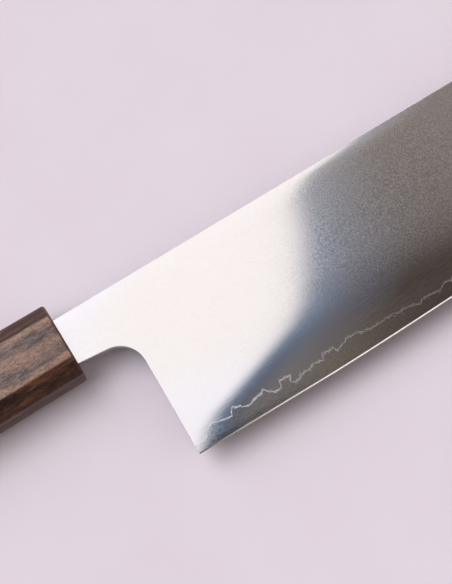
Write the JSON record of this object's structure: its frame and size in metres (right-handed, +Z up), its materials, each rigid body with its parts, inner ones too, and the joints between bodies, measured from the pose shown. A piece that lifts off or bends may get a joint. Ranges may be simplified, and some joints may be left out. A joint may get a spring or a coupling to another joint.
{
  "type": "nakiri knife",
  "caption": "Straight-edged vegetable knife with a tall laminated steel blade, wavy cladding line, rounded choil and bare neck, set in a solid octagonal wooden handle.",
  "frame": {"origin": "under the middle of the knife's box, on the surface that the handle's lower side facet lies on", "axes": "+X along the knife towards the tip, +Y from the edge towards the spine, +Z up, out of the right flank"},
  "size_m": [0.3152, 0.058, 0.0172],
  "materials": {
    "core_steel": "fine satin, darker than the cladding",
    "cladding_steel": "fine satin with lengthwise grain",
    "handle_wood": "dark streaked hardwood, oiled",
    "adhesive": "cured resin",
    "filler": "dark resin filler"
  },
  "bodies": {
    "root": {"blade_core": "core_steel", "cladding_right": "cladding_steel", "cladding_left": "cladding_steel", "handle_body": "handle_wood", "tang_adhesive": "adhesive", "mouth_seal": "filler"}
  },
  "joints": []
}
